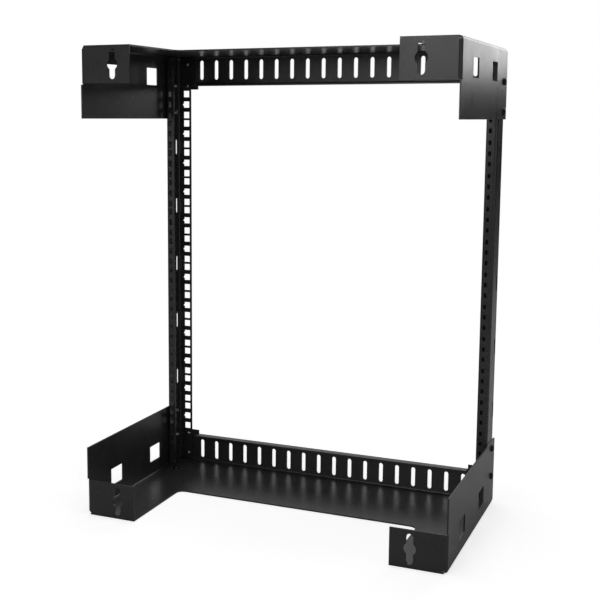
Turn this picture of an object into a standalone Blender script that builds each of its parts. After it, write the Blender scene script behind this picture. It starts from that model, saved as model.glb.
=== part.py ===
"""Open wall mount rack for twelve units of 19 inch equipment.

Two folded steel brackets, one on top and the same part turned over at the bottom, hold two
folded equipment rails between them. Each bracket is one sheet: a U-shaped plate, two side
panels, two wall tabs with keyholes, and a slotted lacing panel with a return lip. Each rail
is a C section that sits in the corner of both brackets. Screws hold it from the side and
from the front, and each bracket carries one earthing screw.

Frame: metres, +Z up, the wall at +Y and the equipment face at -Y. The origin is under the
middle of the rack, on the plane that it stands on.
"""

from math import asin, cos, pi, radians, sin, sqrt

import bmesh
import bpy
from mathutils import Vector

ASSEMBLY = "wall_mount_rack"

# Equipment grid
UNITS = 12
UNIT = 0.04445
LOWER_HOLE = 0.00635
MIDDLE_HOLE = 0.022225
UPPER_HOLE = 0.0381
OPENING_WIDTH = 0.450
HOLE_INSET = 0.00755
SQUARE_HOLE = 0.0095
NOTCH_RADIUS = 0.0016

# Overall form
DEPTH = 0.278
END_MARGIN = 0.0508
SHEET = 0.0020
BEND_RADIUS = 0.0025
CLEARANCE = 0.0003
RELIEF = 0.0015

# Bracket plate and side panels
CROSSBAR_DEPTH = 0.1425
ARM_WIDTH = 0.0725
ARM_CORNER_RADIUS = 0.010
SIDE_HEIGHT = 0.0945
WINDOW_LENGTH = 0.033
WINDOW_HEIGHT = 0.0246
WINDOW_DROP = 0.0333
REAR_WINDOW_SETBACK = 0.0775
FRONT_WINDOW_SETBACK = 0.0845

# Wall tabs
TAB_HEIGHT = 0.0488
KEYHOLE_INSET = 0.0468
KEYHOLE_HEIGHT = 0.039
KEYHOLE_SLOT = 0.009
KEYHOLE_RADIUS = 0.008

# Lacing panel
EAR_CLEARANCE = 0.0003
EAR_REACH = 0.0085
LIP_OFFSET = 0.0053
LIP_DEPTH = 0.016
LIP_GAP = 0.0025
LACE_PITCH = 0.0244
LACE_WIDTH = 0.006
LACE_LENGTH = 0.029
LACE_DROP = 0.0216

# Equipment rails
RAIL_SHEET = 0.0020
RAIL_BEND = 0.0020
RAIL_DEPTH = 0.040
FRONT_FLANGE = 0.0227
REAR_FLANGE = 0.0147
REAR_HOLE_INSET = 0.0055
REAR_HOLE_WIDTH = 0.0055
REAR_HOLE_LENGTH = 0.008
WEB_SLOT_PITCH = 0.0889
WEB_SLOT_WIDTH = 0.008
WEB_SLOT_LENGTH = 0.024
WEB_SLOT_INSET = 0.0137

# Screws
SHANK_RADIUS = 0.0025
HEAD_RADIUS = 0.0047
HEAD_HEIGHT = 0.0030
HEAD_RIM = 0.0008
TIP_CHAMFER = 0.0006
RECESS_SPAN = 0.0046
RECESS_BLADE = 0.0012
RECESS_DEPTH = 0.0016
SIDE_SCREW_LENGTH = 0.010
SIDE_SCREW_INSET = 0.010
SIDE_SCREW_STEP = 0.040
SIDE_SCREW_SETBACK = 0.020
FRONT_SCREW_LENGTH = 0.008
FRONT_SCREW_INSET = 0.0055
EARTH_SCREW_INSET = 0.022
EARTH_SCREW_SETBACK = 0.054

# Fineness of round forms, and how meshes are joined
BEND_STEPS = 4
HOLE_SIDES = 12
NOTCH_STEPS = 4
CORNER_STEPS = 5
SLOT_STEPS = 5
SMALL_SLOT_STEPS = 3
KEYHOLE_STEPS = 6
SCREW_SIDES = 12
CROWN_ANGLES = (0, 35, 65, 90)
SMOOTH_ANGLE = 40
WELD_DISTANCE = 0.000003
CUT_LENGTH = 0.008

# Places worked out from the sizes above
HEIGHT = UNITS * UNIT + 2 * END_MARGIN
GRID_TOP = UNITS * UNIT / 2
TOP = HEIGHT / 2
HALF_OPENING = OPENING_WIDTH / 2
RAIL_SIDE_X = HALF_OPENING + FRONT_FLANGE
HALF_WIDTH = RAIL_SIDE_X + CLEARANCE + SHEET
FRONT_HEAD = CLEARANCE + HEAD_HEIGHT
FRONT_Y = FRONT_HEAD / 2 - DEPTH / 2
WALL_Y = FRONT_Y + DEPTH
HOLE_RADIUS = SHANK_RADIUS + CLEARANCE
RAIL_FRONT_Y = FRONT_Y + SHEET + CLEARANCE
RAIL_HALF_LENGTH = TOP - SHEET - BEND_RADIUS - CLEARANCE
REAR_HOLE_X = RAIL_SIDE_X - REAR_FLANGE + REAR_HOLE_INSET
SQUARE_HOLE_X = HALF_OPENING + HOLE_INSET
KEYHOLE_X = HALF_WIDTH - KEYHOLE_INSET
KEYHOLE_Z = TOP - TAB_HEIGHT / 2
WINDOW_ROWS = (WALL_Y - REAR_WINDOW_SETBACK, FRONT_Y + FRONT_WINDOW_SETBACK)
FRONT_SCREW_X = HALF_OPENING + FRONT_SCREW_INSET
FRONT_SCREW_ROWS = (GRID_TOP + LOWER_HOLE, GRID_TOP + UPPER_HOLE)
SIDE_SCREW_LOW = TOP - SIDE_HEIGHT + SIDE_SCREW_INSET
SIDE_SCREW_ROWS = (SIDE_SCREW_LOW, SIDE_SCREW_LOW + SIDE_SCREW_STEP)
SIDE_SCREW_Y = FRONT_Y + SIDE_SCREW_SETBACK
EARTH_SCREW_X = HALF_WIDTH - EARTH_SCREW_INSET
EARTH_SCREW_Y = FRONT_Y + EARTH_SCREW_SETBACK

HALF_TURN = (0, pi, 0)
UPRIGHT = (0, 0, 0)


def clear_scene():
    """Remove every object that is in the scene."""
    for item in list(bpy.data.objects):
        bpy.data.objects.remove(item, do_unlink=True)


def new_collection(name):
    """Return a new collection, linked to the scene."""
    collection = bpy.data.collections.new(name)
    bpy.context.scene.collection.children.link(collection)
    return collection


def new_material(name, colour, roughness, metallic):
    """Return a Principled BSDF material."""
    material = bpy.data.materials.new(name)
    material.use_nodes = True
    shader = material.node_tree.nodes["Principled BSDF"]
    shader.inputs["Base Color"].default_value = (*colour, 1)
    shader.inputs["Roughness"].default_value = roughness
    shader.inputs["Metallic"].default_value = metallic
    return material


def arc(centre, radius, start, end, steps):
    """Return points along an arc, with its angles in degrees and both ends included."""
    angles = [radians(start + (end - start) * step / steps) for step in range(steps + 1)]
    return [(centre[0] + radius * cos(angle), centre[1] + radius * sin(angle)) for angle in angles]


def rectangle(width, height):
    """Return the outline of a rectangle about its centre."""
    return [(across * width / 2, up * height / 2) for across, up in ((-1, -1), (1, -1), (1, 1), (-1, 1))]


def circle(radius, sides):
    """Return the outline of a circle about its centre."""
    return arc((0, 0), radius, 0, 360, sides)[:-1]


def upright_slot(width, length, steps):
    """Return the outline of a slot with round ends, its length upright."""
    radius = width / 2
    reach = length / 2 - radius
    return arc((0, reach), radius, 0, 180, steps) + arc((0, -reach), radius, 180, 360, steps)


def keyhole():
    """Return a circle with a narrow slot above and below it."""
    radius = KEYHOLE_SLOT / 2
    reach = KEYHOLE_HEIGHT / 2 - radius
    opening = asin(sqrt(1 - (radius / KEYHOLE_RADIUS) ** 2)) * 180 / pi
    return (
        arc((0, 0), KEYHOLE_RADIUS, -opening, opening, KEYHOLE_STEPS)
        + arc((0, reach), radius, 0, 180, KEYHOLE_STEPS)
        + arc((0, 0), KEYHOLE_RADIUS, 180 - opening, 180 + opening, KEYHOLE_STEPS)
        + arc((0, -reach), radius, 180, 360, KEYHOLE_STEPS)
    )


def notched_square():
    """Return a square hole with a round notch in the side toward the web."""
    half = SQUARE_HOLE / 2
    notch = arc((half, 0), NOTCH_RADIUS, -90, 90, NOTCH_STEPS)
    return [(-half, half), (-half, -half), (half, -half)] + notch + [(half, half)]


def cross_recess():
    """Return the outline of a screw head's cross recess."""
    blade = RECESS_BLADE / 2
    span = RECESS_SPAN / 2
    arm = [(span, -blade), (span, blade), (blade, blade)]
    points = []
    for quarter in range(4):
        turn = quarter * pi / 2
        points += [(u * cos(turn) - v * sin(turn), u * sin(turn) + v * cos(turn)) for u, v in arm]
    return points


def oriented(axis, u, v, w):
    """Return the point with u and v across the named axis and w along it."""
    return Vector({"X": (w, u, v), "Y": (u, w, v), "Z": (u, v, w)}[axis])


def add_prism(bm, axis, outline, centre, length):
    """Extrude an outline along an axis, half of its length to each side of the centre."""
    start = Vector(centre) - oriented(axis, 0, 0, length / 2)
    face = bm.faces.new([bm.verts.new(start + oriented(axis, u, v, 0)) for u, v in outline])
    grown = bmesh.ops.extrude_face_region(bm, geom=[face])["geom"]
    moved = [item for item in grown if isinstance(item, bmesh.types.BMVert)]
    bmesh.ops.translate(bm, verts=moved, vec=oriented(axis, 0, 0, length))


def add_flat(bm, axis, outline, level):
    """Add a flat stretch of the sheet's middle surface, square to the named axis."""
    bm.faces.new([bm.verts.new(oriented(axis, u, v, level)) for u, v in outline])


def add_bend(bm, ends, centre, axis, angle):
    """Sweep the line between two ends about an axis, as a press brake bends a sheet."""
    corners = [bm.verts.new(end) for end in ends]
    line = bm.edges.new(corners)
    bmesh.ops.spin(
        bm, geom=corners + [line], cent=centre, axis=axis, angle=radians(angle), steps=BEND_STEPS
    )


def finish_mesh(bm, name):
    """Weld what meets, face it one way and return it as a mesh."""
    bmesh.ops.remove_doubles(bm, verts=bm.verts, dist=WELD_DISTANCE)
    bmesh.ops.recalc_face_normals(bm, faces=bm.faces)
    mesh = bpy.data.meshes.new(name)
    bm.to_mesh(mesh)
    bm.free()
    return mesh


def mirrored(points):
    """Return points for +X followed by their mirror images, so that the outline closes."""
    return points + [(-u, v) for u, v in reversed(points)]


def bracket_surface():
    """Return the middle surface of a bracket that has its plate on top."""
    half = SHEET / 2
    radius = BEND_RADIUS + half
    side_x = HALF_WIDTH - half
    plate_z = TOP - half
    panel_y = FRONT_Y + half
    tab_y = WALL_Y - half
    fold_x = side_x - radius
    fold_z = plate_z - radius
    front_fold_y = panel_y + radius
    wall_fold_y = tab_y - radius
    arm_x = HALF_WIDTH - ARM_WIDTH
    crossbar_y = FRONT_Y + CROSSBAR_DEPTH
    tab_low = TOP - TAB_HEIGHT
    tab_top = TOP - SHEET - CLEARANCE
    tab_chamfer = tab_top - fold_z
    side_low = TOP - SIDE_HEIGHT
    panel_x = RAIL_SIDE_X
    ear_x = HALF_OPENING - EAR_REACH
    ear_low = GRID_TOP + EAR_CLEARANCE
    lip_x = ear_x - LIP_GAP
    lip_z = GRID_TOP + LIP_OFFSET + half
    lip_fold_z = lip_z + radius

    bm = bmesh.new()
    corner = (arm_x - ARM_CORNER_RADIUS, crossbar_y + ARM_CORNER_RADIUS)
    inner_corner = arc(corner, ARM_CORNER_RADIUS, 0, -90, CORNER_STEPS)
    plate = [(fold_x, front_fold_y), (fold_x, wall_fold_y), (fold_x, WALL_Y), (arm_x, WALL_Y)]
    add_flat(bm, "Z", mirrored(plate + inner_corner), plate_z)

    panel = [
        (fold_x, fold_z),
        (panel_x, fold_z - (panel_x - fold_x)),
        (panel_x, ear_low),
        (ear_x, ear_low),
        (ear_x, lip_fold_z + RELIEF),
        (lip_x, lip_fold_z + RELIEF),
        (lip_x, lip_fold_z),
    ]
    add_flat(bm, "Y", mirrored(panel), panel_y)
    across = (1, 0, 0)
    front_ends = [(-fold_x, front_fold_y, plate_z), (fold_x, front_fold_y, plate_z)]
    add_bend(bm, front_ends, (0, front_fold_y, fold_z), across, 90)

    lip = [(lip_x, front_fold_y), (lip_x, FRONT_Y + LIP_DEPTH)]
    add_flat(bm, "Z", mirrored(lip), lip_z)
    lip_ends = [(-lip_x, panel_y, lip_fold_z), (lip_x, panel_y, lip_fold_z)]
    add_bend(bm, lip_ends, (0, front_fold_y, lip_fold_z), across, 90)

    side = [
        (wall_fold_y, fold_z),
        (front_fold_y, fold_z),
        (FRONT_Y, fold_z),
        (FRONT_Y, side_low),
        (WALL_Y, side_low),
        (WALL_Y, tab_low - RELIEF),
        (wall_fold_y, tab_low - RELIEF),
        (wall_fold_y, tab_low),
    ]
    tab = [
        (fold_x, tab_low),
        (arm_x, tab_low),
        (arm_x, tab_top),
        (fold_x - tab_chamfer, tab_top),
        (fold_x, fold_z),
    ]
    for hand in (-1, 1):
        add_flat(bm, "X", side, hand * side_x)
        side_ends = [(hand * fold_x, front_fold_y, plate_z), (hand * fold_x, wall_fold_y, plate_z)]
        add_bend(bm, side_ends, (hand * fold_x, 0, fold_z), (0, 1, 0), hand * 90)
        add_flat(bm, "Y", [(hand * u, v) for u, v in tab], tab_y)
        tab_ends = [(hand * side_x, wall_fold_y, tab_low), (hand * side_x, wall_fold_y, fold_z)]
        add_bend(bm, tab_ends, (hand * fold_x, wall_fold_y, 0), (0, 0, 1), hand * 90)
    return finish_mesh(bm, "bracket_surface")


def bracket_cutter():
    """Return the slots, windows, keyholes and screw holes of a bracket as prisms."""
    bm = bmesh.new()
    panel_y = FRONT_Y + SHEET / 2
    lip_x = HALF_OPENING - EAR_REACH - LIP_GAP
    lace_count = int((2 * lip_x - LACE_WIDTH) / LACE_PITCH) + 1
    lace = upright_slot(LACE_WIDTH, LACE_LENGTH, SLOT_STEPS)
    for slot in range(lace_count):
        slot_x = (slot - (lace_count - 1) / 2) * LACE_PITCH
        add_prism(bm, "Y", lace, (slot_x, panel_y, TOP - LACE_DROP), CUT_LENGTH)

    round_hole = circle(HOLE_RADIUS, HOLE_SIDES)
    window = rectangle(WINDOW_LENGTH, WINDOW_HEIGHT)
    for hand in (-1, 1):
        side_x = hand * (HALF_WIDTH - SHEET / 2)
        add_prism(bm, "Y", keyhole(), (hand * KEYHOLE_X, WALL_Y - SHEET / 2, KEYHOLE_Z), CUT_LENGTH)
        for row in WINDOW_ROWS:
            add_prism(bm, "X", window, (side_x, row, TOP - WINDOW_DROP), CUT_LENGTH)
        for row in SIDE_SCREW_ROWS:
            add_prism(bm, "X", round_hole, (side_x, SIDE_SCREW_Y, row), CUT_LENGTH)
        for row in FRONT_SCREW_ROWS:
            add_prism(bm, "Y", round_hole, (hand * FRONT_SCREW_X, panel_y, row), CUT_LENGTH)
    add_prism(bm, "Z", round_hole, (-EARTH_SCREW_X, EARTH_SCREW_Y, TOP - SHEET / 2), CUT_LENGTH)
    return finish_mesh(bm, "bracket_cutter")


def rail_surface():
    """Return the middle surface of the C section at +X."""
    half = RAIL_SHEET / 2
    radius = RAIL_BEND + half
    web_x = RAIL_SIDE_X - half
    front_y = RAIL_FRONT_Y + half
    rear_y = RAIL_FRONT_Y + RAIL_DEPTH - half
    fold_x = web_x - radius
    reach = RAIL_HALF_LENGTH
    rear_x = RAIL_SIDE_X - REAR_FLANGE

    bm = bmesh.new()
    front_fold_y = front_y + radius
    rear_fold_y = rear_y - radius
    web = [(front_fold_y, -reach), (rear_fold_y, -reach), (rear_fold_y, reach), (front_fold_y, reach)]
    add_flat(bm, "X", web, web_x)
    for level, fold_y, edge_x, angle in (
        (front_y, front_fold_y, HALF_OPENING, -90),
        (rear_y, rear_fold_y, rear_x, 90),
    ):
        flange = [(fold_x, -reach), (edge_x, -reach), (edge_x, reach), (fold_x, reach)]
        add_flat(bm, "Y", flange, level)
        ends = [(web_x, fold_y, -reach), (web_x, fold_y, reach)]
        add_bend(bm, ends, (fold_x, fold_y, 0), (0, 0, 1), angle)
    return finish_mesh(bm, "rail_surface")


def grid_rows(limit):
    """Return the height of each hole of the grid out to a limit, and whether it is a unit's middle one."""
    spare = int(limit / UNIT)
    rows = []
    for unit in range(-spare - 1, spare + 1):
        for step in (LOWER_HOLE, MIDDLE_HOLE, UPPER_HOLE):
            height = (unit + UNITS % 2 / 2) * UNIT + step
            if abs(height) < limit:
                rows.append((height, step == MIDDLE_HOLE))
    return rows


def rail_cutter():
    """Return the square, round and slotted holes of a rail as prisms."""
    bm = bmesh.new()
    front_y = RAIL_FRONT_Y + RAIL_SHEET / 2
    rear_y = RAIL_FRONT_Y + RAIL_DEPTH - RAIL_SHEET / 2
    web_x = RAIL_SIDE_X - RAIL_SHEET / 2
    plain = rectangle(SQUARE_HOLE, SQUARE_HOLE)
    notched = notched_square()
    for height, is_middle in grid_rows(GRID_TOP):
        outline = notched if is_middle else plain
        add_prism(bm, "Y", outline, (SQUARE_HOLE_X, front_y, height), CUT_LENGTH)

    rear_hole = upright_slot(REAR_HOLE_WIDTH, REAR_HOLE_LENGTH, SMALL_SLOT_STEPS)
    for height, _ in grid_rows(RAIL_HALF_LENGTH - REAR_HOLE_LENGTH / 2 - RAIL_SHEET):
        add_prism(bm, "Y", rear_hole, (REAR_HOLE_X, rear_y, height), CUT_LENGTH)

    web_slot = upright_slot(WEB_SLOT_WIDTH, WEB_SLOT_LENGTH, SLOT_STEPS)
    slot_rows = int((SIDE_SCREW_ROWS[0] - WEB_SLOT_LENGTH / 2) / WEB_SLOT_PITCH)
    for row in range(-slot_rows, slot_rows + 1):
        add_prism(bm, "X", web_slot, (web_x, RAIL_FRONT_Y + WEB_SLOT_INSET, row * WEB_SLOT_PITCH), CUT_LENGTH)

    round_hole = circle(HOLE_RADIUS, HOLE_SIDES)
    for end in (-1, 1):
        for row in FRONT_SCREW_ROWS:
            add_prism(bm, "Y", round_hole, (FRONT_SCREW_X, front_y, end * row), CUT_LENGTH)
        for row in SIDE_SCREW_ROWS:
            add_prism(bm, "X", round_hole, (web_x, SIDE_SCREW_Y, end * row), CUT_LENGTH)
    return finish_mesh(bm, "rail_cutter")


def screw_mesh(name, length):
    """Return a pan head screw along Z, with the underside of its head at the origin."""
    rise = HEAD_HEIGHT - HEAD_RIM
    angles = [radians(angle) for angle in CROWN_ANGLES]
    crown = [(HEAD_RADIUS * sin(angle), HEAD_RIM + rise * cos(angle)) for angle in angles]
    profile = crown + [
        (HEAD_RADIUS, 0),
        (SHANK_RADIUS, 0),
        (SHANK_RADIUS, TIP_CHAMFER - length),
        (SHANK_RADIUS - TIP_CHAMFER, -length),
        (0, -length),
    ]
    bm = bmesh.new()
    corners = [bm.verts.new((across, 0, up)) for across, up in profile]
    for upper, lower in zip(corners, corners[1:]):
        bm.edges.new((upper, lower))
    outline = bpy.data.meshes.new(name + "_profile")
    bm.to_mesh(outline)
    bm.free()
    body = bpy.data.objects.new(name + "_profile", outline)
    bpy.context.scene.collection.objects.link(body)
    turn = body.modifiers.new("turned", "SCREW")
    turn.steps = turn.render_steps = SCREW_SIDES
    turn.use_merge_vertices = True
    turn.merge_threshold = WELD_DISTANCE

    bm = bmesh.new()
    add_prism(bm, "Z", cross_recess(), (0, 0, HEAD_HEIGHT), 2 * RECESS_DEPTH)
    recess = bpy.data.objects.new(name + "_recess", finish_mesh(bm, name + "_recess"))
    bpy.context.scene.collection.objects.link(recess)
    cut = body.modifiers.new("recess", "BOOLEAN")
    cut.operation = "DIFFERENCE"
    cut.object = recess

    evaluated = body.evaluated_get(bpy.context.evaluated_depsgraph_get())
    mesh = bpy.data.meshes.new_from_object(evaluated)
    mesh.name = name
    bpy.data.objects.remove(body, do_unlink=True)
    bpy.data.objects.remove(recess, do_unlink=True)
    mesh.shade_smooth()
    mesh.set_sharp_from_angle(angle=radians(SMOOTH_ANGLE))
    return mesh


def link_piece(name, mesh, parent, collection, location=(0, 0, 0), rotation=UPRIGHT):
    """Place a mesh as a named object under the rack's centre."""
    piece = bpy.data.objects.new(name, mesh)
    piece.parent = parent
    piece.location = location
    piece.rotation_euler = rotation
    collection.objects.link(piece)
    return piece


def make_sheet_piece(name, surface, cutter, thickness, rotation, centre, parts, cutters):
    """Thicken a middle surface to a sheet and cut its holes."""
    piece = link_piece(name, surface, centre, parts, rotation=rotation)
    shell = piece.modifiers.new("sheet", "SOLIDIFY")
    shell.thickness = thickness
    shell.offset = 0
    shell.use_even_offset = True
    tool = link_piece(name + "_cutter", cutter, centre, cutters, rotation=rotation)
    tool.hide_render = True
    tool.display_type = "WIRE"
    cut = piece.modifiers.new("holes", "BOOLEAN")
    cut.operation = "DIFFERENCE"
    cut.object = tool
    return piece


def make_brackets(centre, parts, cutters):
    """Build the top bracket and the same part turned over at the bottom."""
    surface = bracket_surface()
    surface.materials.append(new_material("bracket_powder_coat", (0.018, 0.018, 0.019), 0.45, 0.0))
    cutter = bracket_cutter()
    for name, rotation in (("top_bracket", UPRIGHT), ("bottom_bracket", HALF_TURN)):
        make_sheet_piece(name, surface, cutter, SHEET, rotation, centre, parts, cutters)


def make_rails(centre, parts, cutters):
    """Build the right rail and the same part turned over on the left."""
    surface = rail_surface()
    surface.materials.append(new_material("rail_powder_coat", (0.016, 0.016, 0.017), 0.42, 0.0))
    cutter = rail_cutter()
    for name, rotation in (("right_rail", UPRIGHT), ("left_rail", HALF_TURN)):
        make_sheet_piece(name, surface, cutter, RAIL_SHEET, rotation, centre, parts, cutters)


def make_screws(centre, parts):
    """Place the side, front and earthing screws, with their heads a clearance off the sheet."""
    side_mesh = screw_mesh("side_screw", SIDE_SCREW_LENGTH)
    front_mesh = screw_mesh("front_screw", FRONT_SCREW_LENGTH)
    earth_mesh = screw_mesh("earth_screw", SHEET)
    black = new_material("screw_black", (0.02, 0.02, 0.021), 0.35, 0.6)
    for mesh in (side_mesh, front_mesh, earth_mesh):
        mesh.materials.append(black)

    facing_front = (pi / 2, 0, 0)
    for end, end_name, earth_turn in ((1, "top", HALF_TURN), (-1, "bottom", UPRIGHT)):
        for hand, hand_name in ((1, "right"), (-1, "left")):
            corner = f"{end_name}_{hand_name}"
            facing_side = (0, hand * pi / 2, 0)
            for count, row in enumerate(SIDE_SCREW_ROWS, 1):
                place = (hand * (HALF_WIDTH + CLEARANCE), SIDE_SCREW_Y, end * row)
                link_piece(f"{corner}_side_screw_{count}", side_mesh, centre, parts, place, facing_side)
            for count, row in enumerate(FRONT_SCREW_ROWS, 1):
                place = (hand * FRONT_SCREW_X, FRONT_Y - CLEARANCE, end * row)
                link_piece(f"{corner}_front_screw_{count}", front_mesh, centre, parts, place, facing_front)
        place = (-end * EARTH_SCREW_X, EARTH_SCREW_Y, end * (TOP - SHEET - CLEARANCE))
        link_piece(f"{end_name}_earth_screw", earth_mesh, centre, parts, place, earth_turn)


def main():
    """Build the rack."""
    clear_scene()
    parts = new_collection(ASSEMBLY)
    cutters = new_collection("cutters")
    centre = bpy.data.objects.new("rack_centre", None)
    centre.location = (0, 0, TOP)
    parts.objects.link(centre)
    make_brackets(centre, parts, cutters)
    make_rails(centre, parts, cutters)
    make_screws(centre, parts)


main()
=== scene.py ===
"""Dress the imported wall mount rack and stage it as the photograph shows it."""

import logging
import math
from collections.abc import Iterable
from dataclasses import dataclass
from enum import Enum
from typing import ClassVar

import bmesh
import bpy
from mathutils import Matrix, Vector


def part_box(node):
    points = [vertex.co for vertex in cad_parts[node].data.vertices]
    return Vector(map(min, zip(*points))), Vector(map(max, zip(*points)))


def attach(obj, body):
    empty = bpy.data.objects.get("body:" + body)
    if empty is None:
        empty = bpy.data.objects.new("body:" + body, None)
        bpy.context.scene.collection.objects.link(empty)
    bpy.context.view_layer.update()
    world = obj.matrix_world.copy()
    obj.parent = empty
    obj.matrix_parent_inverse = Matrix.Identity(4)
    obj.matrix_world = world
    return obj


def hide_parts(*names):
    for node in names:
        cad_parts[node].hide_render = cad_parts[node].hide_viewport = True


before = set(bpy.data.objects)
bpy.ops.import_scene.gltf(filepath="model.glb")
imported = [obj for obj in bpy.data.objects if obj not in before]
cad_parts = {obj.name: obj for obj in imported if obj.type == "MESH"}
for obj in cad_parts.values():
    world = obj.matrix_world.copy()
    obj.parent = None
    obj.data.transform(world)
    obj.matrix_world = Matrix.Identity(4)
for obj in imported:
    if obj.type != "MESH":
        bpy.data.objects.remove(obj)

Socket = bpy.types.NodeSocket
Colour = tuple[float, float, float]
Point = tuple[float, float, float]

LOG = logging.getLogger("rack")
BODY = "root"
IMAGE_SIZE = 600
SENSOR_WIDTH = 36.0
WELD_DISTANCE = 0.000002
# Material index of the painted-shade finish in stamped marks
RECESS_INDEX = 1
CLOUD_SPAN = (0.35, 0.65)
FLECK_SPAN = (0.30, 0.70)
EDGE_SPAN = (0.995, 0.80)
MATT = 0.9


class Slot(Enum):
    """The record's material slots."""

    BRACKET = "bracket_steel"
    RAIL = "rail_steel"
    SCREW = "screw_steel"


class ScrewKind(Enum):
    """Where a screw goes, by the word in its node's name."""

    SIDE = "side"
    FRONT = "front"
    EARTH = "earth"


SHANK_LENGTHS = {ScrewKind.SIDE: 0.0099, ScrewKind.FRONT: 0.0079, ScrewKind.EARTH: 0.0019}


class Facing(Enum):
    """The way that a screw's head points."""

    RIGHT = (1, 0, 0)
    LEFT = (-1, 0, 0)
    FRONT = (0, -1, 0)
    UP = (0, 0, 1)
    DOWN = (0, 0, -1)


class NodeTree:
    """A thin layer over a material's node tree that keeps the finishes short."""

    def __init__(self, name: str) -> None:
        """Make a material and remember its surface shader.

        Args:
            name: the material's name.
        """
        self.material = bpy.data.materials.new(name)
        self.material.use_nodes = True
        self.tree = self.material.node_tree
        self.surface = self.tree.nodes["Principled BSDF"]
        self.output = self.tree.nodes["Material Output"]

    def add(self, kind: str, **values: object) -> bpy.types.Node:
        """Add a node and set its properties or its input sockets.

        Args:
            kind: the node's Blender type name.
            values: properties, or else inputs with spaces as underscores.

        Returns:
            The new node.
        """
        node = self.tree.nodes.new(kind)
        for name, value in values.items():
            if hasattr(node, name):
                setattr(node, name, value)
            else:
                node.inputs[name.replace("_", " ")].default_value = value
        return node

    def link(self, source: Socket, target: Socket) -> None:
        """Join an output socket to an input socket."""
        self.tree.links.new(source, target)

    def place(self, stretch: Point = (1, 1, 1)) -> Socket:
        """Return the rack's own coordinates in metres, scaled along each axis.

        Args:
            stretch: scale along X, Y and Z.

        Returns:
            The socket of the coordinates.
        """
        mapping = self.add("ShaderNodeMapping", Scale=stretch)
        self.link(self.add("ShaderNodeTexCoord").outputs["Object"], mapping.inputs["Vector"])
        return mapping.outputs["Vector"]

    def noise(self, size: float, detail: float = 2.0, rough: float = 0.5) -> Socket:
        """Add a noise whose lumps have a real size.

        Args:
            size: width of a lump in metres.
            detail: octaves of finer noise.
            rough: weight of those octaves.

        Returns:
            The socket of the noise, about 0.5.
        """
        node = self.add("ShaderNodeTexNoise", Scale=1 / size, Detail=detail, Roughness=rough)
        self.link(self.place(), node.inputs["Vector"])
        return node.outputs["Fac"]

    def clouds(self, size: float, detail: float = 3.0, rough: float = 0.5) -> Socket:
        """Add a noise that fills the whole span from 0 to 1.

        Args:
            size: width of a cloud in metres.
            detail: octaves of finer noise.
            rough: weight of those octaves.

        Returns:
            The socket of the clouds.
        """
        return self.remap(self.noise(size, detail, rough), *CLOUD_SPAN, 0.0, 1.0)

    def remap(self, source: Socket, low: float, high: float, to_low: float, to_high: float) -> Socket:
        """Stretch a value from one span to another, with its ends held.

        Args:
            source: the value's socket.
            low: value that becomes to_low.
            high: value that becomes to_high.
            to_low: result at the low end.
            to_high: result at the high end.

        Returns:
            The socket of the result.
        """
        node = self.add("ShaderNodeMapRange")
        for name, value in zip(("From Min", "From Max", "To Min", "To Max"), (low, high, to_low, to_high)):
            node.inputs[name].default_value = value
        self.link(source, node.inputs["Value"])
        return node.outputs["Result"]

    def mix(self, weight: Socket, first: Colour | Socket, second: Colour | Socket) -> Socket:
        """Blend two colours.

        Args:
            weight: socket of the weight of the second colour.
            first: linear colour, or its socket, at weight 0.
            second: linear colour, or its socket, at weight 1.

        Returns:
            The socket of the blended colour.
        """
        node = self.add("ShaderNodeMix", data_type="RGBA")
        for socket, colour in ((node.inputs[6], first), (node.inputs[7], second)):
            if isinstance(colour, tuple):
                socket.default_value = (*colour, 1)
            else:
                self.link(colour, socket)
        self.link(weight, node.inputs[0])
        return node.outputs[2]

    def calculate(self, operation: str, first: Socket, second: Socket | float) -> Socket:
        """Combine two values.

        Args:
            operation: the name of Blender's math operation.
            first: socket of the first value.
            second: socket of the second value, or the value.

        Returns:
            The socket of the result.
        """
        node = self.add("ShaderNodeMath", operation=operation)
        self.link(first, node.inputs[0])
        if isinstance(second, float):
            node.inputs[1].default_value = second
        else:
            self.link(second, node.inputs[1])
        return node.outputs[0]

    def edges(self, radius: float) -> Socket:
        """Find the strip along each sharp edge.

        Args:
            radius: width of the strip in metres.

        Returns:
            The socket of a value that is 0 on flats and grows to 1 at edges.
        """
        rounded = self.add("ShaderNodeBevel", samples=4, Radius=radius)
        compare = self.add("ShaderNodeVectorMath", operation="DOT_PRODUCT")
        self.link(rounded.outputs["Normal"], compare.inputs[0])
        self.link(self.add("ShaderNodeNewGeometry").outputs["Normal"], compare.inputs[1])
        return self.remap(compare.outputs["Value"], *EDGE_SPAN, 0.0, 1.0)

    def relief(self, *layers: tuple[Socket, float]) -> None:
        """Bump the surface with layers of height.

        Args:
            layers: each layer's socket and its full height in metres.
        """
        below = None
        for height, depth in layers:
            bump = self.add("ShaderNodeBump", Strength=1.0, Distance=depth)
            self.link(height, bump.inputs["Height"])
            if below:
                self.link(below, bump.inputs["Normal"])
            below = bump.outputs["Normal"]
        self.link(below, self.surface.inputs["Normal"])


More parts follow.
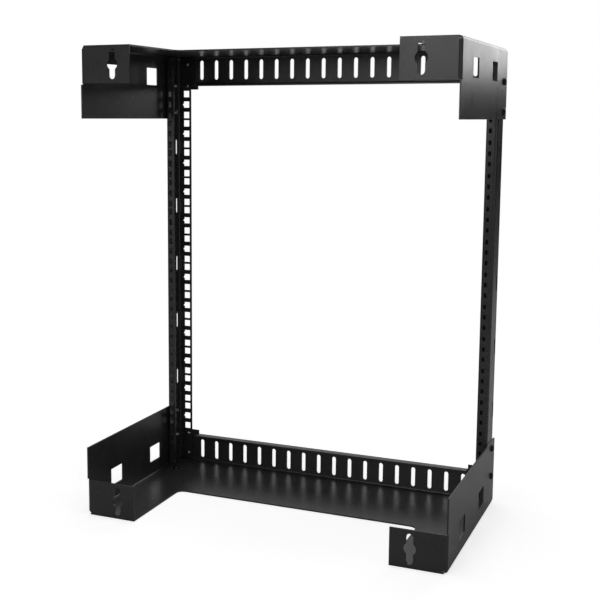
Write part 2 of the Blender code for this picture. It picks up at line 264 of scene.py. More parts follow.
@dataclass(frozen=True)
class PowderCoat:
    """Baked satin powder paint: orange peel, fine grain, mottled gloss, and lighter edges that are partly
    wear and partly painted highlight.
    """

    name: str
    deep: Colour
    bloom: Colour
    # edge: colour along sharp edges, partly wear and partly a painted highlight of the rounded edges
    edge: Colour
    satin: float
    dull: float
    cloud_size: float = 0.050
    fleck_size: float = 0.0014
    peel_size: float = 0.0011
    peel_height: float = 0.000010
    grain_size: float = 0.00035
    grain_height: float = 0.000005
    edge_width: float = 0.0007
    # Noise that breaks up the lighter edges, which are partly wear and partly painted highlight
    wear_and_highlight_size: float = 0.006
    wear_and_highlight_span: tuple[float, float] = (0.15, 0.80)
    gloss_drift: float = 0.02

    def make(self) -> bpy.types.Material:
        """Mix the finish.

        Returns:
            The finish as a material.
        """
        nodes = NodeTree(self.name)
        surface = nodes.surface
        surface.inputs["Metallic"].default_value = 0.0
        surface.inputs["IOR"].default_value = 1.5
        cloud = nodes.clouds(self.cloud_size, 4.0, 0.6)
        fleck = nodes.noise(self.fleck_size, 3.0, 0.7)
        # Lighter colour along the edges: partly wear, partly a painted highlight where light catches the
        # rounded edges
        wear_and_highlight = nodes.remap(nodes.noise(self.wear_and_highlight_size, 3.0), 0.35, 0.60, *self.wear_and_highlight_span)
        worn_and_highlit = nodes.calculate("MULTIPLY", nodes.edges(self.edge_width), wear_and_highlight)
        painted = nodes.mix(cloud, self.deep, self.bloom)
        nodes.link(nodes.mix(worn_and_highlit, painted, self.edge), surface.inputs["Base Color"])
        gloss = nodes.remap(fleck, *FLECK_SPAN, self.satin, self.dull)
        drift = nodes.remap(cloud, 0.0, 1.0, -self.gloss_drift, self.gloss_drift)
        nodes.link(nodes.calculate("ADD", gloss, drift), surface.inputs["Roughness"])
        nodes.relief(
            (nodes.noise(self.peel_size, 1.0), self.peel_height),
            (nodes.noise(self.grain_size, 1.0), self.grain_height),
        )
        return nodes.material


@dataclass(frozen=True)
class PlatedSteel:
    """Plating on turned steel: cloudy colour and the lathe's fine scratches."""

    name: str
    deep: Colour
    bloom: Colour
    polished: float
    dull: float
    cloud_size: float = 0.0022
    fleck_size: float = 0.0005
    scratch_size: float = 0.00012
    scratch_height: float = 0.000003

    def make(self) -> bpy.types.Material:
        """Mix the finish.

        Returns:
            The finish as a material.
        """
        nodes = NodeTree(self.name)
        surface = nodes.surface
        surface.inputs["Metallic"].default_value = 1.0
        cloud = nodes.clouds(self.cloud_size)
        nodes.link(nodes.mix(cloud, self.deep, self.bloom), surface.inputs["Base Color"])
        gloss = nodes.remap(nodes.noise(self.fleck_size), *FLECK_SPAN, self.polished, self.dull)
        nodes.link(gloss, surface.inputs["Roughness"])
        nodes.relief((nodes.noise(self.scratch_size, 1.0), self.scratch_height))
        return nodes.material


@dataclass(frozen=True)
class PaintedShadeRecess:
    """The inside of a stamped mark: matt paint, its colour darkened to near black as painted shade."""

    name: str
    deep: Colour
    bloom: Colour
    dull: float = 0.85
    shine: float = 0.15
    cloud_size: float = 0.0015
    grain_size: float = 0.0004
    grain_height: float = 0.00001

    def make(self) -> bpy.types.Material:
        """Mix the finish.

        Returns:
            The finish as a material.
        """
        nodes = NodeTree(self.name)
        cloud = nodes.clouds(self.cloud_size)
        # Near-black colour: painted shade in the stamped marks
        nodes.link(nodes.mix(cloud, self.deep, self.bloom), nodes.surface.inputs["Base Color"])
        nodes.surface.inputs["Roughness"].default_value = self.dull
        nodes.surface.inputs["Specular IOR Level"].default_value = self.shine
        nodes.relief((nodes.noise(self.grain_size), self.grain_height))
        return nodes.material


@dataclass(frozen=True)
class PaleFloor:
    """A pale matt floor that shows the camera white away from the rack's shadow."""

    name: str
    paint: float
    lift: float
    near: float
    far: float
    shine: float = 0.1

    def make(self) -> bpy.types.Material:
        """Mix the finish.

        Returns:
            The finish as a material.
        """
        nodes = NodeTree(self.name)
        nodes.surface.inputs["Base Color"].default_value = (self.paint, self.paint, self.paint, 1)
        nodes.surface.inputs["Roughness"].default_value = MATT
        nodes.surface.inputs["Specular IOR Level"].default_value = self.shine
        seen = nodes.add("ShaderNodeLightPath").outputs["Is Camera Ray"]
        glow = nodes.add("ShaderNodeEmission", Strength=self.lift)
        lifted = nodes.add("ShaderNodeAddShader")
        nodes.link(nodes.surface.outputs[0], lifted.inputs[0])
        nodes.link(glow.outputs[0], lifted.inputs[1])
        white = nodes.add("ShaderNodeEmission", Strength=1.0)
        reach = nodes.add("ShaderNodeVectorMath", operation="LENGTH")
        nodes.link(nodes.place((1, 1, 0)), reach.inputs[0])
        distance = nodes.remap(reach.outputs["Value"], self.near, self.far, 0.0, 1.0)
        shown = nodes.add("ShaderNodeMixShader")
        nodes.link(distance, shown.inputs[0])
        nodes.link(lifted.outputs[0], shown.inputs[1])
        nodes.link(white.outputs[0], shown.inputs[2])
        final = nodes.add("ShaderNodeMixShader")
        nodes.link(seen, final.inputs[0])
        nodes.link(nodes.surface.outputs[0], final.inputs[1])
        nodes.link(shown.outputs[0], final.inputs[2])
        nodes.link(final.outputs[0], nodes.output.inputs["Surface"])
        return nodes.material


def add_object(name: str, mesh: bpy.types.Mesh) -> bpy.types.Object:
    """Link a new object that shows a mesh.

    Args:
        name: the object's name.
        mesh: what it shows.

    Returns:
        The object.
    """
    shape = bpy.data.objects.new(name, mesh)
    bpy.context.scene.collection.objects.link(shape)
    return shape


def close_mesh(bm: bmesh.types.BMesh, name: str) -> bpy.types.Mesh:
    """Turn a mesh under construction into a mesh with its faces turned outward.

    Args:
        bm: the mesh under construction, which is freed.
        name: the new mesh's name.

    Returns:
        The mesh.
    """
    bmesh.ops.recalc_face_normals(bm, faces=bm.faces)
    mesh = bpy.data.meshes.new(name)
    bm.to_mesh(mesh)
    bm.free()
    return mesh


def flatten(mesh: bpy.types.Mesh, name: str, angle: float = 0.5) -> bpy.types.Mesh:
    """Copy a mesh with each flat face in one piece.

    Args:
        mesh: the mesh to copy.
        name: the copy's name.
        angle: largest angle in degrees between faces that count as one flat.

    Returns:
        The smooth shaded copy.
    """
    bm = bmesh.new()
    bm.from_mesh(mesh)
    bmesh.ops.remove_doubles(bm, verts=bm.verts, dist=WELD_DISTANCE)
    bmesh.ops.dissolve_limit(bm, angle_limit=math.radians(angle), verts=bm.verts, edges=bm.edges)
    copy = bpy.data.meshes.new(name)
    bm.to_mesh(copy)
    bm.free()
    copy.shade_smooth()
    return copy


def carve(body: bpy.types.Object, tool: bpy.types.Mesh, name: str) -> bpy.types.Mesh:
    """Cut a tool out of a body that is then removed.

    Args:
        body: object to cut, with any modifiers that shape it first.
        tool: closed mesh of what is cut away.
        name: the result's name.

    Returns:
        The cut mesh.
    """
    helper = add_object(name + "_tool", tool)
    cut = body.modifiers.new("cut", "BOOLEAN")
    cut.object = helper
    cut.solver = "EXACT"
    mesh = bpy.data.meshes.new_from_object(body.evaluated_get(bpy.context.evaluated_depsgraph_get()))
    mesh.name = name
    for item in (body, helper):
        bpy.data.objects.remove(item, do_unlink=True)
    return mesh


@dataclass
class PaintedSheet:
    """How powder paint lies on folded sheet: it rounds the cut edges and leaves true flats."""

    finish: bpy.types.Material
    slot: Slot
    # Finish for the faces of stamped marks, painted dark as painted shade
    recess: bpy.types.Material | None = None
    edge_radius: float = 0.00035
    edge_steps: int = 2
    sharp_angle: float = 40.0

    def dress(self, mesh: bpy.types.Mesh, node: str) -> bpy.types.Object:
        """Show a mesh in place of a CAD node.

        Args:
            mesh: the sheet, with sharp cut edges.
            node: the CAD node's name.

        Returns:
            The piece, which rides on the rack.
        """
        indexes = [face.material_index for face in mesh.polygons]
        mesh.materials.clear()
        mesh.materials.append(self.finish)
        # Faces of stamped marks keep their index and get the painted-shade finish
        if self.recess:
            mesh.materials.append(self.recess)
            mesh.polygons.foreach_set("material_index", indexes)
        shape = add_object(node + "_painted", mesh)
        rounding = shape.modifiers.new("painted edges", "BEVEL")
        rounding.width = self.edge_radius
        rounding.segments = self.edge_steps
        rounding.limit_method = "ANGLE"
        rounding.angle_limit = math.radians(self.sharp_angle)
        shading = shape.modifiers.new("true flats", "WEIGHTED_NORMAL")
        shading.mode = "FACE_AREA"
        shading.keep_sharp = True
        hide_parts(node)
        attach(shape, BODY)
        return shape


@dataclass
class Bracket:
    """One of the two folded brackets, with its CAD sheet as it is."""

    node: str

    def build(self, paint: PaintedSheet) -> bpy.types.Object:
        """Show the bracket's sheet under paint, and return it."""
        return paint.dress(flatten(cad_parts[self.node].data, self.node + "_sheet"), self.node)


@dataclass
class EquipmentRail:
    """A folded C section with the equipment grid, web slots and a row along its rear flange."""

    node: str
    has_rear_holes: bool
    sheet: float = 0.0020
    bend_radius: float = 0.0020
    bend_steps: int = 6
    rear_flange: float = 0.0129
    unit: float = 0.04445
    steps: tuple[float, float, float] = (0.00635, 0.022225, 0.0381)
    grid_units: int = 12
    square: float = 0.0095
    square_inset: float = 0.00755
    notch_radius: float = 0.0016
    rear_hole: tuple[float, float] = (0.0052, 0.0092)
    rear_hole_inset: float = 0.0063
    mark: tuple[float, float] = (0.0036, 0.0058)
    mark_inset: float = 0.0033
    mark_depth: float = 0.0014
    web_slot: tuple[float, float] = (0.0062, 0.024)
    web_slot_pitch: float = 0.090
    web_slot_inset: float = 0.0089
    web_slot_rows: int = 2
    screw_hole: float = 0.0028
    round_steps: int = 6
    cut_length: float = 0.008
    screw_cut_length: float = 0.024

    def __post_init__(self) -> None:
        """Take the rail's place and size from the frame."""
        low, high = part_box(self.node)
        self.sign = 1 if high.x > 0 else -1
        self.inner, self.outer = sorted((abs(low.x), abs(high.x)))
        self.front, self.rear = low.y, high.y
        self.middle = (low.z + high.z) / 2
        self.reach = (high.z - low.z) / 2

    def sheet_mesh(self) -> bpy.types.Mesh:
        """Fold the middle surface of the rail at +X, its middle at height 0.

        Returns:
            The open surface.
        """
        half = self.sheet / 2
        radius = self.bend_radius + half
        web_x = self.outer - half
        bm = bmesh.new()
        profile = [(self.inner, self.front + half)]
        for centre_y, first in ((self.front + half + radius, -90), (self.rear - half - radius, 0)):
            for step in range(self.bend_steps + 1):
                angle = math.radians(first + 90 * step / self.bend_steps)
                x = web_x - radius + radius * math.cos(angle)
                profile.append((x, centre_y + radius * math.sin(angle)))
        profile.append((self.outer - self.rear_flange, self.rear - half))
        low = [bm.verts.new((x, y, -self.reach)) for x, y in profile]
        high = [bm.verts.new((x, y, self.reach)) for x, y in profile]
        for this in range(len(profile) - 1):
            bm.faces.new((low[this], low[this + 1], high[this + 1], high[this]))
        mesh = bpy.data.meshes.new(self.node + "_surface")
        bm.to_mesh(mesh)
        bm.free()
        return mesh

    def rows(self, limit: float) -> list[tuple[float, bool]]:
        """List the grid's rows out to a limit.

        Args:
            limit: largest height from the middle.

        Returns:
            Each row's height and whether it is the middle one of its unit.
        """
        units = math.ceil(limit / self.unit)
        places = [(unit * self.unit + step, step == self.steps[1])
                  for unit in range(-units, units) for step in self.steps]
        return [place for place in places if abs(place[0]) < limit]

    def outline(self, size: tuple[float, float], round_ends: bool = False) -> list[tuple[float, float]]:
        """Return a hole's outline about its centre.

        Args:
            size: width and upright length.
            round_ends: whether the ends are half circles.

        Returns:
            The outline's points.
        """
        half, reach = size[0] / 2, size[1] / 2
        if not round_ends:
            return [(-half, -reach), (half, -reach), (half, reach), (-half, reach)]
        points = []
        for centre, first in ((reach - half, 0), (half - reach, 180)):
            for step in range(self.round_steps + 1):
                angle = math.radians(first + 180 * step / self.round_steps)
                points.append((half * math.cos(angle), centre + half * math.sin(angle)))
        return points

    def notched_square(self) -> list[tuple[float, float]]:
        """Outline a square hole with a round notch toward the web.

        Returns:
            The outline's points about the square's centre.
        """
        half = self.square / 2
        radius = self.notch_radius
        turns = [math.radians(-90 + 180 * step / self.round_steps) for step in range(self.round_steps + 1)]
        notch = [(half + radius * math.cos(turn), radius * math.sin(turn)) for turn in turns]
        return [(-half, half), (-half, -half), (half, -half)] + notch + [(half, half)]

    def add_prism(
        self,
        bm: bmesh.types.BMesh,
        outline: list[tuple[float, float]],
        centre: Point,
        along_x: bool,
        length: float,
    ) -> None:
        """Add a prism that cuts through a flange or the web.

        Args:
            bm: mesh to add to.
            outline: points across the hole and upward.
            centre: middle of the prism.
            along_x: whether the prism lies along X instead of Y.
            length: the prism's length.
        """
        across, along = Vector((1, 0, 0)), Vector((0, 1, 0))
        if along_x:
            across, along = along, across
        start = Vector(centre) - along * length / 2
        points = [start + across * u + Vector((0, 0, v)) for u, v in outline]
        low = [bm.verts.new(point) for point in points]
        high = [bm.verts.new(point + along * length) for point in points]
        bm.faces.new(low)
        bm.faces.new(list(reversed(high)))
        for this in range(len(points)):
            after = (this + 1) % len(points)
            bm.faces.new((low[this], low[after], high[after], high[this]))

    def hole_mesh(self) -> bpy.types.Mesh:
        """Gather all that is punched out of the rail at +X.

        Returns:
            The closed mesh of the punches.
        """
        bm = bmesh.new()
        for height, is_middle in self.rows(self.grid_units / 2 * self.unit):
            shape = self.notched_square() if is_middle else self.outline((self.square, self.square))
            place = (self.inner + self.square_inset, self.front, height)
            self.add_prism(bm, shape, place, False, self.cut_length)
        edge = self.outer - self.rear_flange
        if self.has_rear_holes:
            shape = self.outline(self.rear_hole)
            for height, _ in self.rows(self.reach - self.rear_hole[1]):
                place = (edge + self.rear_hole_inset, self.rear, height)
                self.add_prism(bm, shape, place, False, self.cut_length)
        else:
            shape = self.outline(self.mark)
            heights = [height for height, _ in self.rows(self.reach)]
            for lower, upper in zip(heights, heights[1:]):
                place = (edge + self.mark_inset, self.rear, (lower + upper) / 2)
                count = len(bm.faces)
                self.add_prism(bm, shape, place, False, 2 * self.mark_depth)
                bm.faces.ensure_lookup_table()
                # The marks' faces take the finish of painted shade
                for face in bm.faces[count:]:
                    face.material_index = RECESS_INDEX
        shape = self.outline(self.web_slot, round_ends=True)
        for row in range(-self.web_slot_rows, self.web_slot_rows + 1):
            place = (self.outer, self.front + self.web_slot_inset, row * self.web_slot_pitch)
            self.add_prism(bm, shape, place, True, self.cut_length)
        shape = self.outline((2 * self.screw_hole, 2 * self.screw_hole), round_ends=True)
        hand = "right" if self.sign > 0 else "left"
        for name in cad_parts:
            if "_%s_side_screw" % hand in name or "_%s_front_screw" % hand in name:
                low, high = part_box(name)
                centre = (low + high) / 2
                place = (abs(centre.x), centre.y, self.sign * (centre.z - self.middle))
                self.add_prism(bm, shape, place, "side" in name, self.screw_cut_length)
        bmesh.ops.remove_doubles(bm, verts=bm.verts, dist=WELD_DISTANCE)
        return close_mesh(bm, self.node + "_holes")

    def build(self, paint: PaintedSheet) -> bpy.types.Object:
        """Fold, punch and paint the rail.

        Args:
            paint: how the sheet is painted.

        Returns:
            The piece.
        """
        body = add_object(self.node + "_body", self.sheet_mesh())
        shell = body.modifiers.new("sheet", "SOLIDIFY")
        shell.thickness = self.sheet
        shell.offset = 0
        shell.use_even_offset = True
        mesh = flatten(carve(body, self.hole_mesh(), self.node + "_punched"), self.node + "_sheet")
        turn = Matrix.Rotation(math.pi if self.sign < 0 else 0.0, 4, "Y")
        mesh.transform(Matrix.Translation((0, 0, self.middle)) @ turn)
        return paint.dress(mesh, self.node)


@dataclass
class CornerWelds:
    """The ground welds that close a bracket's two front corners, and its lip's relief slits."""

    node: str
    finish: bpy.types.Material
    bend_radius: float = 0.0025
    sheet: float = 0.0020
    steps: int = 8
    slit_middle: float = 0.21525
    slit_width: float = 0.0025
    slit_low: float = 0.0395
    slit_high: float = 0.0505
    sharp_angle: float = 40.0

    def shell(self, bm: bmesh.types.BMesh, centre: Vector, signs: Vector) -> None:
        """Add an eighth of a hollow ball that joins three folds.

        Args:
            bm: mesh to add to.
            centre: centre of the folds' curves.
            signs: the way along each axis that the corner points.
        """
        layers = []
        for radius in (self.bend_radius + self.sheet, self.bend_radius):
            rows = []
            for row in range(self.steps + 1):
                rise = math.pi / 2 * row / self.steps
                points = []
                for column in range(self.steps + 1):
                    turn = math.pi / 2 * column / self.steps
                    level = math.cos(rise)
                    way = Vector((level * math.cos(turn), level * math.sin(turn), math.sin(rise)))
                    points.append(bm.verts.new(centre + radius * way * signs))
                rows.append(points)
            layers.append(rows)
        last = self.steps
        for rows in layers:
            for row in range(last):
                for column in range(last):
                    bm.faces.new((rows[row][column], rows[row][column + 1],
                                  rows[row + 1][column + 1], rows[row + 1][column]))
        outer, inner = layers
        steps = range(last)
        rim = [(0, step) for step in steps] + [(step, last) for step in steps]
        rim += [(last, last - step) for step in steps] + [(last - step, 0) for step in steps] + [(0, 0)]
        for (row, column), (next_row, next_column) in zip(rim, rim[1:]):
            bm.faces.new((outer[row][column], outer[next_row][next_column],
                          inner[next_row][next_column], inner[row][column]))

    def build(self) -> bpy.types.Object:
        """Make both corners' welds as one piece.

        Returns:
            The piece.
        """
        low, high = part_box(self.node)
        end, level = (1, high.z) if self.node.startswith("top") else (-1, low.z)
        reach = self.bend_radius + self.sheet
        bm = bmesh.new()
        for hand in (-1, 1):
            edge = high.x if hand > 0 else low.x
            centre = Vector((edge - hand * reach, low.y + reach, level - end * reach))
            self.shell(bm, centre, Vector((hand, -1, end)))
            middle = Vector((
                hand * self.slit_middle,
                low.y + self.sheet / 2,
                level - end * (self.slit_low + self.slit_high) / 2,
            ))
            size = (self.slit_width, self.sheet, self.slit_high - self.slit_low)
            bmesh.ops.create_cube(bm, size=1, matrix=Matrix.LocRotScale(middle, None, size))
        bmesh.ops.remove_doubles(bm, verts=bm.verts, dist=WELD_DISTANCE)
        mesh = close_mesh(bm, self.node + "_welds")
        mesh.materials.append(self.finish)
        mesh.shade_smooth()
        mesh.set_sharp_from_angle(angle=math.radians(self.sharp_angle))
        piece = add_object(self.node + "_welds", mesh)
        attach(piece, BODY)
        return piece


@dataclass
class ThreadedScrew:
    """A pan head machine screw with a cross recess and a rolled thread."""

    kind: ScrewKind
    head_finish: bpy.types.Material
    thread_finish: bpy.types.Material
    length: float
    head_radius: float = 0.0047
    head_height: float = 0.0030
    head_rim: float = 0.0008
    shank_radius: float = 0.0025
    pitch: float = 0.0008
    thread_depth: float = 0.00042
    tip_taper: float = 0.0007
    recess_span: float = 0.0046
    recess_blade: float = 0.0011
    recess_depth: float = 0.0017
    recess_taper: float = 0.35
    recess_flare: float = 1.2
    crown_power: float = 0.8
    sharp_angle: float = 35.0
    sides: int = 48
    rows_per_turn: int = 8
    crown_steps: int = 8

    HEAD_SLOT: ClassVar[int] = 0
    THREAD_SLOT: ClassVar[int] = 1

    def profile(self) -> list[tuple[float, float]]:
        """Draw the head's half section from its crown to the shank.

        Returns:
            The points, as radius and height.
        """
        rise = self.head_height - self.head_rim
        points = []
        for step in range(self.crown_steps + 1):
            angle = math.pi / 2 * step / self.crown_steps
            radius = self.head_radius * math.sin(angle) ** self.crown_power
            points.append((radius, self.head_rim + rise * math.cos(angle)))
        return points + [(self.head_radius, 0.0), (self.shank_radius, 0.0)]

    def thread_rings(self) -> list[list[Point]]:
        """Wind the thread from the head to the tip.

        Returns:
            The thread's rings of points.
        """
        rows = max(2, round(self.length / self.pitch * self.rows_per_turn))
        rings = []
        for row in range(1, rows + 1):
            depth = self.length * row / rows
            taper = max(0.0, depth - (self.length - self.tip_taper))
            ring = []
            for side in range(self.sides):
                turn = side / self.sides
                wave = abs(2 * ((depth / self.pitch + turn) % 1) - 1)
                radius = self.shank_radius - self.thread_depth * wave - taper
                angle = 2 * math.pi * turn
                ring.append((radius * math.cos(angle), radius * math.sin(angle), -depth))
            rings.append(ring)
        return rings

    def body_mesh(self) -> bpy.types.Mesh:
        """Turn the screw along Z without its recess, the head's underside at the origin.

        Returns:
            The closed mesh.
        """
        bm = bmesh.new()
        top = bm.verts.new((0, 0, self.head_height))
        rings = []
        angles = [2 * math.pi * side / self.sides for side in range(self.sides)]
        for radius, height in self.profile()[1:]:
            ring = [(radius * math.cos(angle), radius * math.sin(angle), height) for angle in angles]
            rings.append([bm.verts.new(point) for point in ring])
        head_rings = len(rings)
        rings += [[bm.verts.new(point) for point in ring] for ring in self.thread_rings()]
        pairs = [(side, (side + 1) % self.sides) for side in range(self.sides)]
        for this, after in pairs:
            bm.faces.new((top, rings[0][this], rings[0][after]))
        for index, (upper, lower) in enumerate(zip(rings, rings[1:])):
            for this, after in pairs:
                face = bm.faces.new((upper[this], lower[this], lower[after], upper[after]))
                face.material_index = self.HEAD_SLOT if index + 1 < head_rings else self.THREAD_SLOT
        bm.faces.new(list(reversed(rings[-1]))).material_index = self.THREAD_SLOT
        return close_mesh(bm, self.kind.value + "_screw")

    def recess_mesh(self) -> bpy.types.Mesh:
        """Make the tapered cross that the driver's bit fits.

        Returns:
            The closed mesh.
        """
        blade, span = self.recess_blade / 2, self.recess_span / 2
        arm = [(span, -blade), (span, blade), (blade, blade)]
        cross = [Matrix.Rotation(q * math.pi / 2, 2) @ Vector(point) for q in range(4) for point in arm]
        bm = bmesh.new()
        above, below = self.head_height + self.head_rim, self.head_height - self.recess_depth
        top = [bm.verts.new((*(point * self.recess_flare), above)) for point in cross]
        low = [bm.verts.new((*(point * self.recess_taper), below)) for point in cross]
        bm.faces.new(top)
        bm.faces.new(list(reversed(low)))
        for this in range(len(cross)):
            after = (this + 1) % len(cross)
            bm.faces.new((top[this], low[this], low[after], top[after]))
        return close_mesh(bm, self.kind.value + "_recess")

    def mesh(self) -> bpy.types.Mesh:
        """Finish the screw along Z.

        Returns:
            The mesh, with the plating on its head and thread.
        """
        body = add_object("screw_blank", self.body_mesh())
        recess = self.recess_mesh()
        for material in (self.head_finish, self.thread_finish):
            body.data.materials.append(material)
        recess.materials.append(self.head_finish)
        mesh = carve(body, recess, self.kind.value + "_screw")
        mesh.shade_smooth()
        mesh.set_sharp_from_angle(angle=math.radians(self.sharp_angle))
        return mesh

    def facing(self, node: str) -> Facing:
        """Tell the way that a node's head points.

        Args:
            node: the CAD node's name.

        Returns:
            The way.
        """
        if self.kind is ScrewKind.FRONT:
            return Facing.FRONT
        if self.kind is ScrewKind.EARTH:
            return Facing.DOWN if node.startswith("top") else Facing.UP
        return Facing.RIGHT if "right" in node else Facing.LEFT

    def build(self, nodes: Iterable[str]) -> list[bpy.types.Object]:
        """Put a screw in place of each node.

        Args:
            nodes: names of the CAD nodes.

        Returns:
            The screws.
        """
        mesh = self.mesh()
        screws = []
        for node in nodes:
            low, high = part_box(node)
            ahead = Vector(self.facing(node).value)
            middle = (low + high) / 2
            half = abs((high - low).dot(ahead)) / 2
            screw = add_object(node + "_threaded", mesh)
            screw.rotation_euler = ahead.to_track_quat("Z", "Y").to_euler()
            screw.location = middle + ahead * (half - self.head_height)
            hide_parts(node)
            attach(screw, BODY)
            screws.append(screw)
        return screws


@dataclass
class SoftBox:
    """A rectangular lamp that shines at a point and is not seen itself."""

    name: str
    place: Point
    target: Point
    width: float
    height: float
    power: float

    def build(self) -> bpy.types.Object:
        """Hang the lamp.

        Returns:
            The lamp.
        """
        data = bpy.data.lights.new(self.name, "AREA")
        data.shape = "RECTANGLE"
        data.size = self.width
        data.size_y = self.height
        data.energy = self.power
        lamp = bpy.data.objects.new(self.name, data)
        lamp.location = self.place
        ahead = Vector(self.target) - Vector(self.place)
        lamp.rotation_euler = ahead.to_track_quat("-Z", "Y").to_euler()
        lamp.visible_camera = False
        bpy.context.scene.collection.objects.link(lamp)
        return lamp


def stage_sheet(name: str, corners: tuple[Point, ...]) -> bpy.types.Object:
    """Make a plain sheet of the stage.

    Args:
        name: the sheet's name.
        corners: its corners, in order.

    Returns:
        The sheet, which isn't part of the rack.
    """
    mesh = bpy.data.meshes.new(name)
    mesh.from_pydata(corners, [], [tuple(range(len(corners)))])
    sheet = add_object(name, mesh)
    return sheet


@dataclass
class Studio:
    """The pale floor, the backdrop, the soft light and the camera at the photograph's angle."""

    floor_size: float = 14.0
    ambient_turn: float = -0.3
    ambient_front: float = 0.02
    ambient_rear: float = 0.24
    reflected: float = 0.24
    floor_drop: float = 0.0002
    backdrop_y: float = -2.6
    backdrop_left: float = -0.35
    backdrop_right: float = 4.0
    backdrop_height: float = 3.0
    backdrop_paint: float = 0.85
    eye: Point = (-0.5279, 1.3918, 0.5419)
    yaw: float = -23.969
    pitch: float = -7.723
    roll: float = 0.111
    focal_pixels: float = 1100.5
    shift_pixels: tuple[float, float] = (-64.67, -32.87)

    def build_world(self) -> None:
        """Light the scene softly, more from the wall's side, and show white to the camera."""
        world = bpy.data.worlds.new("studio")
        world.use_nodes = True
        tree = world.node_tree
        background = tree.nodes["Background"]
        background.inputs["Color"].default_value = (1, 1, 1, 1)
        around = tree.nodes.new("ShaderNodeTexCoord")
        direction = tree.nodes.new("ShaderNodeSeparateXYZ")
        tree.links.new(around.outputs["Generated"], direction.inputs["Vector"])
        fade = tree.nodes.new("ShaderNodeMapRange")
        fade.inputs["From Min"].default_value = self.ambient_turn
        fade.inputs["To Min"].default_value = self.ambient_front
        fade.inputs["To Max"].default_value = self.ambient_rear
        tree.links.new(direction.outputs["Y"], fade.inputs["Value"])
        path = tree.nodes.new("ShaderNodeLightPath")
        strength = tree.nodes.new("ShaderNodeMapRange")
        strength.inputs["To Max"].default_value = 1.0
        tree.links.new(fade.outputs["Result"], strength.inputs["To Min"])
        tree.links.new(path.outputs["Is Camera Ray"], strength.inputs["Value"])
        tree.links.new(strength.outputs["Result"], background.inputs["Strength"])
        bpy.context.scene.world = world

    def build_floor(self) -> bpy.types.Object:
        """Lay the floor a hair below the rack.

        Returns:
            The floor.
        """
        half, z = self.floor_size / 2, -self.floor_drop
        corners = ((-half, -half, z), (half, -half, z), (half, half, z), (-half, half, z))
        floor = stage_sheet("floor", corners)
        finish = PaleFloor(name="pale floor", paint=0.62, lift=0.69, near=0.60, far=1.5)
        floor.data.materials.append(finish.make())
        return floor

    def build_backdrop(self) -> bpy.types.Object:
        """Stand the white backdrop behind the rack, where its satin paint reflects it.

        Returns:
            The backdrop.
        """
        left, right, top, y = self.backdrop_left, self.backdrop_right, self.backdrop_height, self.backdrop_y
        corners = ((left, y, 0), (right, y, 0), (right, y, top), (left, y, top))
        backdrop = stage_sheet("backdrop", corners)
        nodes = NodeTree("white backdrop")
        seen = nodes.add("ShaderNodeLightPath").outputs["Is Camera Ray"]
        glow = nodes.add("ShaderNodeEmission", Strength=1.0)
        mixed = nodes.add("ShaderNodeMixShader")
        nodes.surface.inputs["Base Color"].default_value = (*(self.backdrop_paint,) * 3, 1)
        nodes.surface.inputs["Roughness"].default_value = MATT
        nodes.surface.inputs["Emission Color"].default_value = (1, 1, 1, 1)
        nodes.surface.inputs["Emission Strength"].default_value = self.reflected
        nodes.link(seen, mixed.inputs[0])
        nodes.link(nodes.surface.outputs[0], mixed.inputs[1])
        nodes.link(glow.outputs[0], mixed.inputs[2])
        nodes.link(mixed.outputs[0], nodes.output.inputs["Surface"])
        backdrop.data.materials.append(nodes.material)
        return backdrop

    def build_camera(self) -> bpy.types.Object:
        """Place the camera that gives the photograph's view.

        Returns:
            The camera.
        """
        data = bpy.data.cameras.new("camera")
        data.sensor_width = SENSOR_WIDTH
        data.lens = self.focal_pixels / IMAGE_SIZE * SENSOR_WIDTH
        data.shift_x = -self.shift_pixels[0] / IMAGE_SIZE
        data.shift_y = self.shift_pixels[1] / IMAGE_SIZE
        yaw, pitch = math.radians(self.yaw), math.radians(self.pitch)
        level = math.cos(pitch)
        ahead = Vector((-math.sin(yaw) * level, -math.cos(yaw) * level, math.sin(pitch)))
        camera = bpy.data.objects.new("camera", data)
        camera.location = self.eye
        roll = Matrix.Rotation(math.radians(self.roll), 3, "Z")
        camera.rotation_euler = (ahead.to_track_quat("-Z", "Y").to_matrix() @ roll).to_euler()
        bpy.context.scene.collection.objects.link(camera)
        bpy.context.scene.camera = camera
        return camera

    def build_lamps(self) -> list[bpy.types.Object]:
        """Hang the soft lamps.

        Returns:
            The lamps.
        """
        lamps = (
            SoftBox("overhead", (0.1, -0.1, 2.5), (0, 0, 0.3), 1.8, 1.8, 26.0),
            SoftBox("front right", (-0.60, -2.30, 1.29), (-0.60, 0.0, 1.29), 0.70, 1.2, 8.6),
            SoftBox("behind camera", (0.30, 2.40, 1.12), (0, 0, 1.0), 0.8, 0.9, 8.5),
            SoftBox("side", (-2.20, 0.35, 0.80), (-0.2, 0.0, 0.4), 0.7, 1.4, 3.6),
            SoftBox("low left", (1.55, 2.40, 0.33), (0.24, -0.1, 0.33), 0.6, 0.5, 1.1),
            SoftBox("near right", (-1.75, 1.75, 0.85), (-0.2, 0.0, 0.4), 0.9, 1.3, 1.8),
        )
        return [lamp.build() for lamp in lamps]

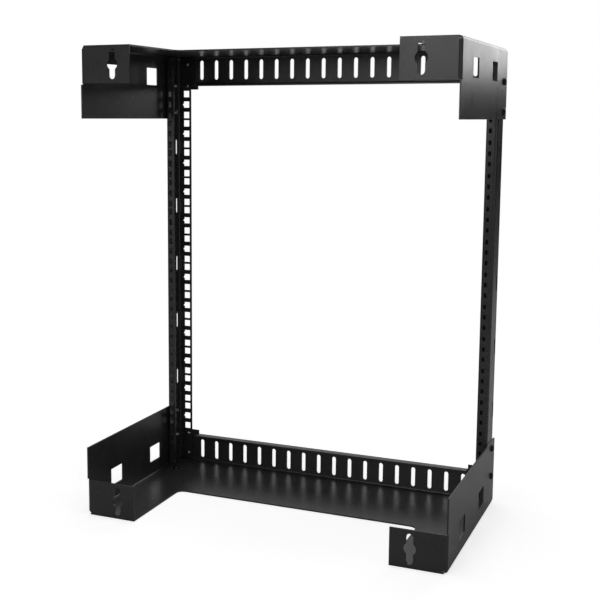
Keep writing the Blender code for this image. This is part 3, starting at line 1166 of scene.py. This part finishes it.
    def build(self) -> None:
        """Set the stage."""
        self.build_world()
        self.build_floor()
        self.build_backdrop()
        self.build_lamps()
        self.build_camera()
        bpy.context.scene.view_settings.view_transform = "Standard"


def main() -> None:
    """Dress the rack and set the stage."""
    logging.basicConfig(level=logging.INFO, format="%(message)s")
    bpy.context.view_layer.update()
    bracket_coat = PowderCoat(
        name="bracket powder coat",
        deep=(0.020, 0.020, 0.0205),
        bloom=(0.025, 0.025, 0.0255),
        # Lighter edge colour: partly wear, partly painted highlight
        edge=(0.060, 0.060, 0.061),
        satin=0.27,
        dull=0.33,
    ).make()
    rail_coat = PowderCoat(
        name="rail powder coat",
        deep=(0.022, 0.022, 0.0225),
        bloom=(0.027, 0.027, 0.0275),
        # Lighter edge colour: partly wear, partly painted highlight
        edge=(0.060, 0.060, 0.061),
        satin=0.24,
        dull=0.30,
    ).make()
    # The marks' faces are painted near black as painted shade
    mark_painted_shade = PaintedShadeRecess(
        name="mark painted shade",
        deep=(0.004, 0.004, 0.004),
        bloom=(0.006, 0.006, 0.006),
    ).make()
    black_plate = PlatedSteel(
        name="black zinc plate",
        deep=(0.020, 0.020, 0.021),
        bloom=(0.045, 0.045, 0.047),
        polished=0.30,
        dull=0.42,
    ).make()
    bright_plate = PlatedSteel(
        name="bright zinc plate",
        deep=(0.28, 0.29, 0.30),
        bloom=(0.42, 0.43, 0.44),
        polished=0.22,
        dull=0.35,
    ).make()
    bracket_paint = PaintedSheet(bracket_coat, Slot.BRACKET)
    for node in ("top_bracket", "bottom_bracket"):
        LOG.info("%s is folded and painted", Bracket(node).build(bracket_paint).name)
    rail_paint = PaintedSheet(rail_coat, Slot.RAIL, mark_painted_shade)
    for node, has_rear_holes in (("right_rail", True), ("left_rail", False)):
        LOG.info("%s is punched and painted", EquipmentRail(node, has_rear_holes).build(rail_paint).name)
    for node in ("top_bracket", "bottom_bracket"):
        LOG.info("%s closes the corners of %s", CornerWelds(node, bracket_coat).build().name, node)
    for kind, length in SHANK_LENGTHS.items():
        nodes = sorted(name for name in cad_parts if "_%s_screw" % kind.value in name)
        thread = black_plate if kind is ScrewKind.EARTH else bright_plate
        for screw in ThreadedScrew(kind, black_plate, thread, length).build(nodes):
            LOG.info("%s rides on %s", screw.name, BODY)
    Studio().build()


if __name__ == "__main__":
    main()
